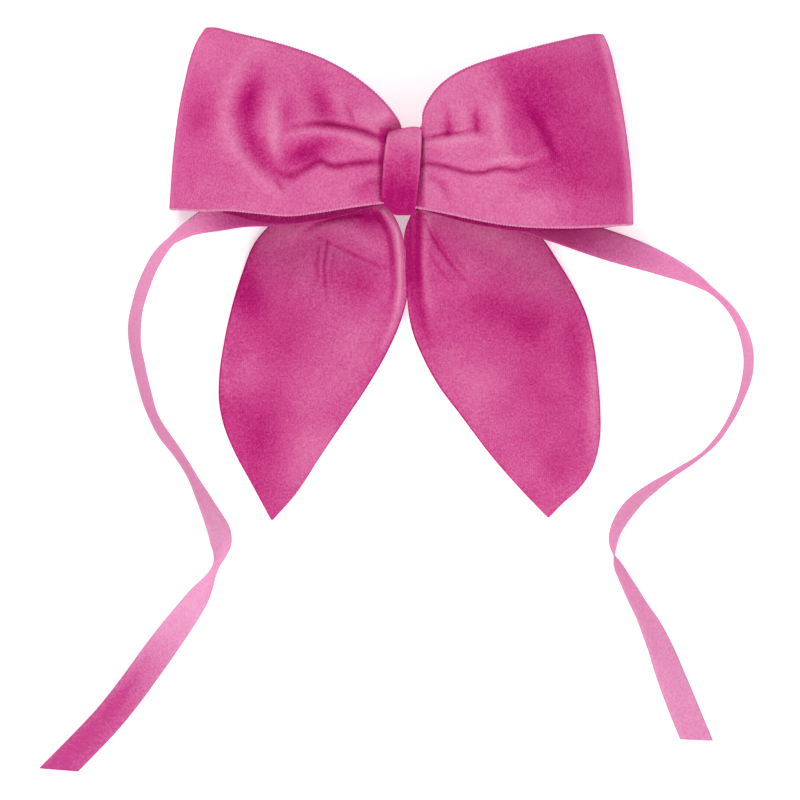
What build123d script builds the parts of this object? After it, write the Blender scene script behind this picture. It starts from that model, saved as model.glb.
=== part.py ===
"""A velvet bow on a French barrette clip, lying on its back on a table.

+X runs along the clip, +Y towards the top of the bow and +Z out of its front.
The origin is at the bottom centre of the bow's box, its two streamers left out.
Millimetres throughout.
"""
import os
from math import radians, tan

from build123d import *

# ------------------------------------------------------------------ clip
CLIP_Y = 34.2             # the clip and the knot are centred on this line
PLATE_LENGTH = 80.0
PLATE_WIDTH = 9.0
PLATE_GAUGE = 0.8
PLATE_CROWN_Z = 14.3      # top of the arched plate, at its middle
PLATE_RADIUS = 100.0
PLATE_CORNER = 2.5
LINING_GAUGE = 0.6
LINING_LENGTH = 79.0

HINGE_X = -36.0
HINGE_Z = 3.0
PIN_RADIUS = 0.7
PIN_HEAD_RADIUS = 1.05
PIN_HEAD_LENGTH = 0.4
PIN_CLEARANCE = 0.06
KNUCKLE_RADIUS = 1.5
EAR_GAUGE = 0.8
EAR_RADIUS = 1.8
EAR_RISE = 6.0            # an ear runs up from the hinge into the plate
ARM_KNUCKLE_WIDTH = 3.4
BAR_KNUCKLE_WIDTH = 1.5
BAR_KNUCKLE_MID_Y = 2.8   # the bar's two knuckles sit outside the arm's one

ARM_WIDTH = 5.0
ARM_GAUGE = 0.9
ARM_ROOT_Z = 3.0
ARM_MIDDLE_Z = 4.6
ARM_END_X = 38.5
ARM_END_Z = 2.4
ARM_NECK_END_X = -33.6
FRAME_START_X = 28.5
FRAME_WIDTH = 9.0
WINDOW_START_X = 30.6
WINDOW_END_X = 35.6
WINDOW_WIDTH = 6.2
WAIST_CORNER = 1.2
FRAME_CORNER = 1.6
WINDOW_CORNER = 0.6
JOIN_OVERLAP = 2.0        # how far two outlines of one strip run into each other

BAR_WIDTH = 7.0
BAR_GAUGE = 0.5
BAR_ROOT_X = -35.2
BAR_ROOT_Z = 4.2
BAR_MIDDLE_Z = 11.35
BAR_END_X = 29.0
BAR_END_Z = 7.3
BAR_NOTCH_END_X = -33.4
BAR_NOTCH_WIDTH = 3.8
BAR_CORNER = 2.0

LATCH_GAUGE = 0.6
LATCH_START_X = 30.4
LATCH_END_X = 36.6
PRONG_X = 33.0
PRONG_WIDTH = 3.6
PRONG_GAUGE = 0.6
PRONG_MID_Y = 2.6         # from the clip's centre line to the middle of a prong
PRONG_TIP_Z = 0.5
PRONG_ROOT_Z = 9.0        # a prong is cut from here, then trimmed to the foot
PRONG_TRIM = 5.0
PRONG_ROOT_GAP = 0.12
HOOK_TOP_Z = 2.8
HOOK_HEIGHT = 0.9
HOOK_REACH = 0.65
RIVET_RADIUS = 0.8
RIVET_HEAD_RADIUS = 1.4
RIVET_HEAD_LENGTH = 0.7
RIVET_LENGTH = 2.9
RIVET_SUNK = 0.3          # the rivet ends just below the plate's sloping top
RIVET_CLEARANCE = 0.02

STITCH_HOLE_X = 37.3
STITCH_HOLE_RADIUS = 0.8
THREAD_RADIUS = 0.25
STITCH_LOOP = ((37.3, 5.0), (41.2, 4.4), (40.6, 6.6), (37.5, 8.0))   # (x, z) round the plate's end
STITCH_BEND = 0.4

# ------------------------------------------------------------------ knot
BAND_WIDTH = 12.5
BAND_GAUGE = 1.3
BAND_Y = (20.0, 49.0)
BAND_Z = (11.9, 28.3)
BAND_CORNER = 5.5
CORE_Y = (22.2, 46.8)     # the gathered cloth inside the band
CORE_Z = (15.5, 26.2)
CORE_CORNER = 3.6
CINCH_Y = (21.75, 47.25)  # the thread's run round the gathered cloth
CINCH_Z = (15.2, 26.55)
CINCH_TURNS_X = (-1.5, 0.0, 1.5)
SEAM_X = (-4.5, -1.5, 1.5, 4.5)
SEAM_Z = 18.0
SEAM_STITCH = 2.4
FIT_GAP = 0.15            # cloth stays this far from the band's edges

# ------------------------------------------------------------------ cloth
LOOP_WALL = 1.3
LOOP_GATHER_END = 14.0    # nearer the middle than this, a loop is solid gathers
RIBBON_WIDTH = 10.0
RIBBON_GAUGE = 0.8
TALL = 100.0              # passes through the whole bow, up or down
WIDE = 400.0              # passes through the whole bow, sideways

# A loop seen from its end: (distance from the middle, height, corner radius).
LOOP_PROFILE = (
    (0.25, 18.3, 0.0),
    (9.0, 18.1, 8.0),
    (20.0, 13.8, 40.0),
    (38.0, 8.7, 40.0),
    (70.0, 0.0, 14.0),
    (78.6, 0.0, 3.4),
    (76.2, 13.0, 20.0),
    (62.0, 27.0, 22.0),
    (34.0, 33.6, 40.0),
    (12.0, 29.0, 20.0),
    (6.0, 26.2, 6.0),
    (0.25, 26.2, 0.0),
)

# The tails drape from the knot like a cone: (distance from the knot, lower face, upper face).
TAIL_DRAPE = (
    (0.0, 15.5, 16.4),
    (8.0, 15.5, 16.4),
    (14.0, 12.8, 14.6),
    (22.0, 9.0, 11.0),
    (34.0, 4.4, 6.3),
    (46.0, 1.2, 3.2),
    (56.0, 0.0, 2.1),
    (140.0, 0.0, 2.1),
)

# Each streamer's route, chosen along the ribbon's middle: (x, y, z).
LEFT_ROUTE = (
    (-0.6, 33.0, 17.8),
    (-11.0, 28.4, 16.4),
    (-24.0, 22.2, 11.6),
    (-39.0, 18.8, 5.4),
    (-53.0, 18.0, 1.6),
    (-67.0, 16.6, 3.4),
    (-79.2, 9.8, 5.1),
    (-86.2, -3.4, 5.4),
    (-90.0, -19.0, 5.4),
    (-86.6, -35.4, 5.4),
    (-82.6, -49.6, 5.4),
    (-72.4, -62.6, 5.4),
    (-65.0, -77.0, 5.4),
    (-58.5, -90.6, 5.4),
    (-65.4, -105.0, 5.2),
    (-79.3, -123.2, 2.4),
    (-94.8, -144.8, 0.8),
    (-105.4, -156.6, 0.6),
    (-114.6, -165.8, 0.6),
)
RIGHT_ROUTE = (
    (0.6, 33.0, 17.8),
    (11.0, 28.0, 16.4),
    (24.0, 21.8, 11.6),
    (38.0, 16.6, 6.2),
    (52.0, 12.2, 2.0),
    (68.0, 9.6, 0.8),
    (84.0, 4.6, 3.4),
    (99.8, -2.4, 5.2),
    (112.0, -13.2, 5.4),
    (117.0, -29.0, 5.4),
    (112.2, -45.2, 5.4),
    (102.8, -59.4, 5.4),
    (87.6, -68.4, 5.4),
    (75.2, -77.8, 5.4),
    (68.8, -91.0, 5.4),
    (76.3, -105.5, 5.2),
    (84.8, -120.5, 3.8),
    (91.4, -138.6, 1.2),
    (98.6, -155.8, 0.6),
)
LEFT_FLAT_ENDS = (-56.0, -100.0)   # flat where x is above the first, or y below the second
RIGHT_FLAT_ENDS = (74.0, -104.0)   # flat where x is below the first, or y below the second
LEFT_END_Y = -165.2                # where each streamer is cut off
RIGHT_END_Y = -155.2
ROOT_POINTS = 8                    # no streamer's root has more points than this


# ------------------------------------------------------------------ helpers
def side_prism(profile, width, y=CLIP_Y):
    """Extrude a side-view sketch (x across, z up) evenly about the line at y."""
    return Pos(0, y, 0) * extrude(Plane.XZ * profile, amount=width / 2, both=True)


def end_prism(profile, x_low, x_high):
    """Extrude an end-view sketch (y across, z up) from x_low to x_high."""
    return Pos(x_low, 0, 0) * extrude(Plane.YZ * profile, amount=x_high - x_low)


def plan_prism(profile, z_low=-1.0, z_high=TALL):
    """Extrude a plan-view sketch upwards."""
    return Pos(0, 0, z_low) * extrude(profile, amount=z_high - z_low)


def block(x, y, z):
    """A box between the (low, high) pairs x, y and z."""
    middle = [(low + high) / 2 for low, high in (x, y, z)]
    return Pos(*middle) * Box(x[1] - x[0], y[1] - y[0], z[1] - z[0])


def across(x, z, radius, length, y=CLIP_Y):
    """A cylinder along Y, centred on (x, y, z)."""
    return Pos(x, y, z) * Rot(90, 0, 0) * Cylinder(radius, length)


def upright(x, y, z, radius, length):
    """A cylinder along Z, centred on (x, y, z)."""
    return Pos(x, y, z) * Cylinder(radius, length)


def arch_z(radius, x):
    """Height at x of a circle of that radius about the centre of the plate's arch."""
    return PLATE_CROWN_Z - PLATE_RADIUS + (radius ** 2 - x ** 2) ** 0.5


def arched_strip(top_radius, gauge, x_low, x_high, width):
    """A strip that lies along the plate's arch, its top at top_radius from the arch's centre."""
    x_mid = (x_low + x_high) / 2
    top = [(x, arch_z(top_radius, x)) for x in (x_low, x_mid, x_high)]
    under = [(x, arch_z(top_radius - gauge, x)) for x in (x_high, x_mid, x_low)]
    edges = [ThreePointArc(*top), Line(top[-1], under[0]), ThreePointArc(*under), Line(under[-1], top[0])]
    return side_prism(make_face(edges), width)


def bowed_strip(root, middle, end, gauge, width):
    """A strip whose lower face is the arc through three (x, z) points."""
    lower = ThreePointArc(root, middle, end)
    upper = Pos(0, gauge) * ThreePointArc(root, middle, end)
    left = Line(root, (root[0], root[1] + gauge))
    right = Line(end, (end[0], end[1] + gauge))
    return side_prism(make_face([lower, right, upper, left]), width)


def rounded_plan(x_low, x_high, width, corner):
    """The plan of a strip with rounded corners, as a prism."""
    outline = Pos((x_low + x_high) / 2, CLIP_Y) * RectangleRounded(x_high - x_low, width, corner)
    return plan_prism(outline)


def rounded_end(y, z, corner):
    """An end-view rectangle with rounded corners between the (low, high) pairs y and z."""
    outline = RectangleRounded(y[1] - y[0], z[1] - z[0], corner)
    return Pos((y[0] + y[1]) / 2, (z[0] + z[1]) / 2) * outline


def thread_ring(plane, corners, corner_radius):
    """A closed loop of thread through the corners given on a plane."""
    path = plane * FilletPolyline(*corners, radius=corner_radius, close=True)
    start = path.edges()[0]
    section = Plane(origin=start @ 0.5, z_dir=start % 0.5) * Circle(THREAD_RADIUS)
    return sweep(section, path=path)


def corner_radii(points):
    """Each corner's arc: 0.45 of its shorter run over the tangent of half its turn."""
    radii = []
    for before, here, after in zip(points, points[1:], points[2:]):
        run_in = Vector(*here) - Vector(*before)
        run_out = Vector(*after) - Vector(*here)
        half_turn = radians(run_in.get_angle(run_out)) / 2
        radii.append(0.45 * min(run_in.length, run_out.length) / tan(half_turn))
    return radii


# ------------------------------------------------------------------ clip
def base_plate():
    """Arched steel plate with two hinge ears, a rivet hole and a stitch hole at each end."""
    half = PLATE_LENGTH / 2
    plate = arched_strip(PLATE_RADIUS, PLATE_GAUGE, -half, half, PLATE_WIDTH)
    plate = plate & rounded_plan(-half, half, PLATE_WIDTH, PLATE_CORNER)
    ear_profile = Pos(HINGE_X, HINGE_Z) * Circle(EAR_RADIUS)
    ear_profile += Pos(HINGE_X, HINGE_Z + EAR_RISE / 2) * Rectangle(2 * EAR_RADIUS, EAR_RISE)
    under_plate = Pos(0, PLATE_CROWN_Z - PLATE_RADIUS) * Circle(PLATE_RADIUS - PLATE_GAUGE / 2)
    ears = ear_profile & under_plate
    for side in (-1, 1):
        ear_y = CLIP_Y + side * (PLATE_WIDTH - EAR_GAUGE) / 2
        plate += side_prism(ears, EAR_GAUGE, ear_y)
    plate -= across(HINGE_X, HINGE_Z, PIN_RADIUS + PIN_CLEARANCE, PLATE_WIDTH + 2)
    plate -= upright(PRONG_X, CLIP_Y, PLATE_CROWN_Z, RIVET_RADIUS + RIVET_CLEARANCE, PLATE_RADIUS)
    for side in (-1, 1):
        plate -= upright(side * STITCH_HOLE_X, CLIP_Y, PLATE_CROWN_Z, STITCH_HOLE_RADIUS, PLATE_RADIUS)
    return plate


def hinge_pin():
    """Pin across the ears, with a head at each end."""
    pin = across(HINGE_X, HINGE_Z, PIN_RADIUS, PLATE_WIDTH + 2 * PIN_HEAD_LENGTH)
    for side in (-1, 1):
        head_y = CLIP_Y + side * (PLATE_WIDTH / 2 + PIN_HEAD_LENGTH / 2 + PIN_CLEARANCE)
        pin += across(HINGE_X, HINGE_Z, PIN_HEAD_RADIUS, PIN_HEAD_LENGTH, head_y)
    return pin


def clasp_arm():
    """Arm that closes under the hair: knuckle, neck, bowed strip and a window at its end."""
    root = (HINGE_X + 0.5, ARM_ROOT_Z)
    middle = (0, ARM_MIDDLE_Z)
    end = (ARM_END_X, ARM_END_Z)
    strip = bowed_strip(root, middle, end, ARM_GAUGE, FRAME_WIDTH)
    neck_y = (CLIP_Y - ARM_KNUCKLE_WIDTH / 2, CLIP_Y + ARM_KNUCKLE_WIDTH / 2)
    neck = block((HINGE_X, ARM_NECK_END_X + JOIN_OVERLAP), neck_y, (0, TALL))
    waist = rounded_plan(ARM_NECK_END_X, FRAME_START_X + JOIN_OVERLAP, ARM_WIDTH, WAIST_CORNER)
    frame = rounded_plan(FRAME_START_X, ARM_END_X, FRAME_WIDTH, FRAME_CORNER)
    arm = strip & (neck + waist + frame)
    window = Pos((WINDOW_START_X + WINDOW_END_X) / 2, CLIP_Y)
    window *= RectangleRounded(WINDOW_END_X - WINDOW_START_X, WINDOW_WIDTH, WINDOW_CORNER)
    arm -= plan_prism(window)
    arm += across(HINGE_X, HINGE_Z, KNUCKLE_RADIUS, ARM_KNUCKLE_WIDTH)
    return arm - across(HINGE_X, HINGE_Z, PIN_RADIUS + PIN_CLEARANCE, PLATE_WIDTH)


def tension_bar():
    """Bowed spring strip between plate and arm, on the same pin with two outer knuckles."""
    root = (BAR_ROOT_X, BAR_ROOT_Z)
    strip = bowed_strip(root, (0, BAR_MIDDLE_Z - BAR_GAUGE / 2), (BAR_END_X, BAR_END_Z), BAR_GAUGE, BAR_WIDTH)
    bar = strip & rounded_plan(HINGE_X - JOIN_OVERLAP, BAR_END_X, BAR_WIDTH, BAR_CORNER)
    for side in (-1, 1):
        bar += across(HINGE_X, HINGE_Z, KNUCKLE_RADIUS, BAR_KNUCKLE_WIDTH, CLIP_Y + side * BAR_KNUCKLE_MID_Y)
    notch_y = (CLIP_Y - BAR_NOTCH_WIDTH / 2, CLIP_Y + BAR_NOTCH_WIDTH / 2)
    bar -= block((HINGE_X - JOIN_OVERLAP, BAR_NOTCH_END_X), notch_y, (0, TALL))
    return bar - across(HINGE_X, HINGE_Z, PIN_RADIUS + PIN_CLEARANCE, PLATE_WIDTH)


def latch_base():
    """Foot of the U-shaped latch spring, held under the plate by the rivet."""
    width = 2 * PRONG_MID_Y + PRONG_GAUGE
    foot = arched_strip(PLATE_RADIUS - PLATE_GAUGE, LATCH_GAUGE, LATCH_START_X, LATCH_END_X, width)
    return foot - upright(PRONG_X, CLIP_Y, PLATE_CROWN_Z, RIVET_RADIUS + RIVET_CLEARANCE, PLATE_RADIUS)


def latch_prong(side):
    """One squeeze prong of the latch spring; its hook points away from the centre line."""
    mid_y = CLIP_Y + side * PRONG_MID_Y
    x = (PRONG_X - PRONG_WIDTH / 2, PRONG_X + PRONG_WIDTH / 2)
    y = (mid_y - PRONG_GAUGE / 2, mid_y + PRONG_GAUGE / 2)
    prong = block(x, y, (PRONG_TIP_Z, PRONG_ROOT_Z))
    hook_mid = mid_y + side * (PRONG_GAUGE + HOOK_REACH) / 2
    hook_y = (hook_mid - HOOK_REACH / 2, hook_mid + HOOK_REACH / 2)
    prong += block(x, hook_y, (HOOK_TOP_Z - HOOK_HEIGHT, HOOK_TOP_Z))
    foot_under = PLATE_RADIUS - PLATE_GAUGE - LATCH_GAUGE - PRONG_ROOT_GAP
    return prong - arched_strip(foot_under + PRONG_TRIM, PRONG_TRIM, x[0] - 1, x[1] + 1, PLATE_WIDTH)


def latch_rivet():
    """Rivet through plate and latch foot, its dome under the foot."""
    top_z = arch_z(PLATE_RADIUS, PRONG_X) - RIVET_SUNK
    rivet = upright(PRONG_X, CLIP_Y, top_z - RIVET_LENGTH / 2, RIVET_RADIUS, RIVET_LENGTH)
    head_z = top_z - RIVET_LENGTH + RIVET_HEAD_LENGTH / 2
    return rivet + upright(PRONG_X, CLIP_Y, head_z, RIVET_HEAD_RADIUS, RIVET_HEAD_LENGTH)


def clip_lining():
    """Strip of felt on top of the plate, pierced where the stitches and the rivet come up."""
    half = LINING_LENGTH / 2
    lining = arched_strip(PLATE_RADIUS + LINING_GAUGE, LINING_GAUGE, -half, half, PLATE_WIDTH)
    lining = lining & rounded_plan(-half, half, PLATE_WIDTH, PLATE_CORNER)
    for side in (-1, 1):
        lining -= upright(side * STITCH_HOLE_X, CLIP_Y, PLATE_CROWN_Z, STITCH_HOLE_RADIUS, PLATE_RADIUS)
    return lining


def end_stitches():
    """A loop of thread at each end of the plate, through the hole and round the end."""
    loop = Pos(0, CLIP_Y, 0) * thread_ring(Plane.XZ, STITCH_LOOP, STITCH_BEND)
    return Compound(children=[loop, mirror(loop, about=Plane.YZ)])


# ------------------------------------------------------------------ knot
def knot_band():
    """The velvet band wrapped round the gathered bow and the plate."""
    outer = rounded_end(BAND_Y, BAND_Z, BAND_CORNER)
    inner_y = (BAND_Y[0] + BAND_GAUGE, BAND_Y[1] - BAND_GAUGE)
    inner_z = (BAND_Z[0] + BAND_GAUGE, BAND_Z[1] - BAND_GAUGE)
    inner = rounded_end(inner_y, inner_z, BAND_CORNER - BAND_GAUGE)
    return end_prism(outer - inner, -BAND_WIDTH / 2, BAND_WIDTH / 2)


def knot_seam():
    """Hand stitches that close the band, in a row along its lower end."""
    stitches = []
    for x in SEAM_X:
        stitch = Pos(x, BAND_Y[0] - THREAD_RADIUS, SEAM_Z) * Cylinder(THREAD_RADIUS, SEAM_STITCH)
        stitches.append(stitch)
    return Compound(children=stitches)


def cinch_thread():
    """Turns of thread round the gathered cloth, under the band."""
    low_y, high_y = CINCH_Y
    low_z, high_z = CINCH_Z
    corners = ((low_y, low_z), (high_y, low_z), (high_y, high_z), (low_y, high_z))
    turn = thread_ring(Plane.YZ, corners, CORE_CORNER)
    return Compound(children=[Pos(x, 0, 0) * turn for x in CINCH_TURNS_X])


def through_band(cloth):
    """Gather cloth into the core where it passes through the band."""
    half = BAND_WIDTH / 2 + FIT_GAP
    band_y = (BAND_Y[0] - FIT_GAP, BAND_Y[1] + FIT_GAP)
    band_z = (BAND_Z[0] - FIT_GAP, BAND_Z[1] + FIT_GAP)
    outside = cloth - block((-half, half), band_y, band_z)
    core = end_prism(rounded_end(CORE_Y, CORE_Z, CORE_CORNER), -half, half)
    return outside + (cloth & core)


# ------------------------------------------------------------------ cloth
def loop_tube(side):
    """The hollow of a loop seen from its end, as a long prism before its outline is cut."""
    points = [(side * x, z) for x, z, _ in LOOP_PROFILE]
    radii = [radius for _, _, radius in LOOP_PROFILE[1:-1]]
    rim = FilletPolyline(*points, radius=radii)
    outer = make_face([*rim.edges(), Line(points[-1], points[0])])
    inner = offset(outer, amount=-LOOP_WALL)
    beyond = side * (LOOP_GATHER_END + WIDE / 2)
    inner = inner & (Pos(beyond, 0) * Rectangle(WIDE, WIDE))
    return side_prism(outer - inner, WIDE, 0)


def arcs_and_lines(start, stretches):
    """A closed outline: each stretch is (end,) for a line or (middle, end) for an arc."""
    edges = []
    here = start
    for stretch in stretches:
        there = stretch[-1]
        edges.append(Line(here, there) if len(stretch) == 1 else ThreePointArc(here, *stretch))
        here = there
    edges.append(Line(here, start))
    return make_face(edges)


def left_loop():
    """The left loop, wide at its outer crease and gathered at the knot."""
    outline = arcs_and_lines((-0.25, 22.3), (
        ((-38.0, 18.2), (-76.4, 21.4)),
        ((-76.6, 50.0), (-66.2, 81.4)),
        ((-64.6, 82.2),),
        ((-32.6, 74.6), (-5.0, 56.0)),
        ((-0.25, 49.4),),
    ))
    return through_band(loop_tube(-1) & plan_prism(outline))


def right_loop():
    """The right loop, a little lower than the left one."""
    outline = arcs_and_lines((0.25, 22.3), (
        ((34.0, 15.4), (75.9, 16.6)),
        ((77.2, 18.0),),
        ((75.0, 45.0), (68.2, 78.6)),
        ((66.6, 80.2),),
        ((33.0, 73.0), (9.6, 58.0)),
        ((7.2, 53.0), (6.8, 49.4)),
        ((0.25, 49.4),),
    ))
    return through_band(loop_tube(1) & plan_prism(outline))


def drape():
    """The cone that both tails lie on, falling from the knot to the table."""
    lower = [(r, low) for r, low, _ in TAIL_DRAPE]
    upper = [(r, high) for r, _, high in reversed(TAIL_DRAPE)]
    section = Plane.XZ * make_face(Polyline(*lower, *upper, close=True))
    return Pos(0, CLIP_Y, 0) * revolve(section, axis=Axis.Z)


def left_tail():
    """The left tail: a pointed leaf of double velvet."""
    outline = arcs_and_lines((-0.8, 33.0), (
        ((-6.4, 33.0),),
        ((-7.0, 28.6),),
        ((-22.0, 24.0), (-46.2, 17.0)),
        ((-56.6, -8.0), (-60.8, -37.0)),
        ((-59.4, -50.0), (-54.8, -61.2)),
        ((-43.3, -82.2),),
        ((-30.2, -63.6), (-12.8, -38.2)),
        ((-4.4, -23.6), (0.6, -9.0)),
        ((0.2, 6.0), (-2.4, 19.4)),
        ((-0.8, 24.0),),
    ))
    return through_band(drape() & plan_prism(outline))


def right_tail():
    """The right tail, which leans a little further out."""
    outline = arcs_and_lines((1.2, 33.0), (
        ((6.4, 33.0),),
        ((7.0, 28.6),),
        ((24.0, 20.0), (47.2, 11.8)),
        ((58.6, -8.0), (65.4, -35.5)),
        ((66.0, -54.0), (60.0, -71.0)),
        ((49.4, -81.6),),
        ((29.6, -60.4), (11.8, -36.2)),
        ((3.8, -22.0), (1.2, -6.0)),
        ((1.6, 8.0), (3.6, 20.6)),
        ((1.2, 24.0),),
    ))
    return through_band(drape() & plan_prism(outline))


def streamer(route, flat_x, flat_y, end_y):
    """A long narrow ribbon: flat from the knot, on its edge along the curves, flat to its end."""
    side = 1 if route[-1][0] > 0 else -1
    plan_points = [(x, y) for x, y, _ in route]
    radii = corner_radii(plan_points)
    print("streamer radii", [round(radius) for radius in radii])
    path = FilletPolyline(*plan_points, radius=radii)
    print("streamer length in plan", round(path.length, 1))
    flat_band = plan_prism(trace(path, RIBBON_WIDTH), -RIBBON_GAUGE, TALL)
    wall = plan_prism(trace(path, RIBBON_GAUGE), 0, RIBBON_WIDTH)

    flat_points = 1 + sum(abs(x) < abs(flat_x) for x, _, _ in route[:ROOT_POINTS])
    root_route = [(x, z) for x, _, z in route[:flat_points]]
    upper = [(x, max(z, RIBBON_GAUGE / 2) + RIBBON_GAUGE / 2) for x, z in root_route]
    lower = [(x, z - RIBBON_GAUGE) for x, z in reversed(upper)]
    root_slab = side_prism(make_face(Polyline(*upper, *lower, close=True)), WIDE, 0)
    root_space = block(sorted((flat_x, 0)), (0, WIDE), (-1, TALL))
    tip_space = block((-WIDE, WIDE), (end_y, flat_y), (0, RIBBON_GAUGE))
    tip = flat_band & tip_space
    root = flat_band & root_slab & root_space
    wall -= Pos(-side * RIBBON_GAUGE, 0, 0) * root_space
    wall -= block((-WIDE, WIDE), (-WIDE, flat_y - RIBBON_GAUGE), (-1, TALL))
    return root + wall + tip


PARTS = {
    "base_plate": base_plate,
    "hinge_pin": hinge_pin,
    "clasp_arm": clasp_arm,
    "tension_bar": tension_bar,
    "latch_base": latch_base,
    "latch_prong_front": lambda: latch_prong(-1),
    "latch_prong_rear": lambda: latch_prong(1),
    "latch_rivet": latch_rivet,
    "clip_lining": clip_lining,
    "end_stitches": end_stitches,
    "knot_band": knot_band,
    "knot_seam": knot_seam,
    "cinch_thread": cinch_thread,
    "left_loop": left_loop,
    "right_loop": right_loop,
    "left_tail": left_tail,
    "right_tail": right_tail,
    "left_streamer": lambda: streamer(LEFT_ROUTE, *LEFT_FLAT_ENDS, LEFT_END_Y),
    "right_streamer": lambda: streamer(RIGHT_ROUTE, *RIGHT_FLAT_ENDS, RIGHT_END_Y),
}


def main():
    os.makedirs("parts", exist_ok=True)
    for name, make in PARTS.items():
        shape = make()
        shape.label = name
        export_step(shape, f"parts/{name}.step")
        box = shape.bounding_box()
        print(name, len(shape.solids()), round(shape.volume, 1), box)


main()
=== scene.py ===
"""Looks for the velvet bow barrette: cloth, ribbons, materials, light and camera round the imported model."""

import math

import bpy
import numpy as np
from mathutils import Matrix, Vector


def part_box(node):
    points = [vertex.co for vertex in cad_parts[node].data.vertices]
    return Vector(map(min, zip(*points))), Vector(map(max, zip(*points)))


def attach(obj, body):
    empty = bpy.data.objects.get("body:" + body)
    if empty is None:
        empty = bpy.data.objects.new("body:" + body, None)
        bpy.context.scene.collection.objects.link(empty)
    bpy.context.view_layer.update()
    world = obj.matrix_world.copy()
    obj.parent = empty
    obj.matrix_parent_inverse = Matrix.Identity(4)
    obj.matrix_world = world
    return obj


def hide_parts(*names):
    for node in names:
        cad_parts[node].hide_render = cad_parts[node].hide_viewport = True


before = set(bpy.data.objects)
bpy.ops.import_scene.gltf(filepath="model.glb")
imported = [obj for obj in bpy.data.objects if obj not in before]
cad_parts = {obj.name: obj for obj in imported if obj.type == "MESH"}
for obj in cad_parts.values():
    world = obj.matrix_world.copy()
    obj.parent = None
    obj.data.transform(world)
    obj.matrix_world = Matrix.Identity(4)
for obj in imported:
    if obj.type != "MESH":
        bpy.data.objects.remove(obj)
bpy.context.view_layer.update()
MM = 0.001
ROOT = "clip_and_bow"

# ------------------------------------------------------------------ places read from the frame
PLATE_LOW, PLATE_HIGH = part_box("base_plate")
BAND_LOW, BAND_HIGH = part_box("knot_band")
CLIP_Y = (PLATE_LOW.y + PLATE_HIGH.y) / 2 / MM
BAND_HALF_WIDTH = (BAND_HIGH.x - BAND_LOW.x) / 2 / MM

# ------------------------------------------------------------------ camera and light
VIEW_CENTRE = (-0.5, -42.2)      # mm
VIEW_WIDTH = 266.7               # mm across the picture, at the height of the cloth
CLOTH_HEIGHT = 0.006             # m
CAMERA_DISTANCE = 2.5            # m
SENSOR = 36.0                    # mm

# Softboxes: name, place in m, side in m, power in W.
LIGHTS = (
    ("key", (-0.75, 0.95, 1.05), 0.8, 9.0),
    ("fill_right", (1.1, -0.1, 0.8), 1.0, 4.0),
    ("fill_low", (-0.1, -1.3, 0.6), 1.0, 9.5),
)
LIGHT_TARGET = (0, -0.02, 0.01)  # m
WORLD_COLOUR = (1.0, 0.99, 0.985)
WORLD_STRENGTH = 0.66
FLOOR_COLOUR = (0.93, 0.93, 0.93)
FLOOR_GLOW = 0.40
FLOOR_HALF = 3.0                 # m
FLOOR_Z = -0.0002                # m, just under the object


def camera():
    """Looks straight down on the bow, as on a table."""
    data = bpy.data.cameras.new("camera")
    data.sensor_width = SENSOR
    data.lens = SENSOR * CAMERA_DISTANCE / (VIEW_WIDTH * MM)
    data.clip_end = 20.0
    obj = bpy.data.objects.new("camera", data)
    obj.location = (VIEW_CENTRE[0] * MM, VIEW_CENTRE[1] * MM, CLOTH_HEIGHT + CAMERA_DISTANCE)
    bpy.context.scene.collection.objects.link(obj)
    bpy.context.scene.camera = obj


def area_light(name, place, size, power):
    """A square softbox at place, turned towards the bow."""
    data = bpy.data.lights.new(name, "AREA")
    data.size = size
    data.energy = power
    obj = bpy.data.objects.new(name, data)
    obj.location = place
    aim = Vector(LIGHT_TARGET) - Vector(place)
    obj.rotation_euler = aim.to_track_quat("-Z", "Y").to_euler()
    bpy.context.scene.collection.objects.link(obj)


def studio():
    """Soft key from the top left, weaker fills, pale surroundings and a pale floor."""
    for light in LIGHTS:
        area_light(*light)
    world = bpy.data.worlds.new("studio")
    world.use_nodes = True
    background = world.node_tree.nodes["Background"]
    background.inputs["Color"].default_value = (*WORLD_COLOUR, 1)
    background.inputs["Strength"].default_value = WORLD_STRENGTH
    bpy.context.scene.world = world
    bpy.context.scene.view_settings.view_transform = "Standard"
    turns = ((-1, -1), (1, -1), (1, 1), (-1, 1))
    corners = [(x * FLOOR_HALF, y * FLOOR_HALF, FLOOR_Z) for x, y in turns]
    floor = mesh_object("floor", corners, [(0, 1, 2, 3)])
    floor.data.materials.append(floor_material())


# ------------------------------------------------------------------ mesh helpers
def mesh_object(name, points, faces):
    """A smooth-shaded mesh object from points in metres."""
    mesh = bpy.data.meshes.new(name)
    mesh.from_pydata([tuple(p) for p in points], [], faces)
    mesh.polygons.foreach_set("use_smooth", [True] * len(mesh.polygons))
    mesh.update()
    obj = bpy.data.objects.new(name, mesh)
    bpy.context.scene.collection.objects.link(obj)
    return obj


def grid_faces(rows, columns, wrap_rows=False, wrap_columns=False):
    """Quads of a grid whose points run row by row."""
    faces = []
    for i in range(rows if wrap_rows else rows - 1):
        for j in range(columns if wrap_columns else columns - 1):
            i2, j2 = (i + 1) % rows, (j + 1) % columns
            faces.append((i * columns + j, i2 * columns + j, i2 * columns + j2, i * columns + j2))
    return faces


def end_caps(rows, columns):
    """The first and last rows of a grid with wrapped columns, each as one face."""
    return [tuple(range(columns)), tuple(range((rows - 1) * columns, rows * columns))[::-1]]


def squared(wave, power):
    """A sine or cosine made squarer by a power under 1, with its sign kept."""
    return np.sign(wave) * np.abs(wave) ** power


def distance_along(line):
    """How far along a line of points each point is."""
    return np.concatenate([[0], np.cumsum(np.linalg.norm(np.diff(line, axis=0), axis=1))])


def line_at(line, at):
    """Points of a 3-D line at the distances `at` along it."""
    run = distance_along(line)
    return np.stack([np.interp(at, run, line[:, k]) for k in range(3)], 1)


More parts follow.
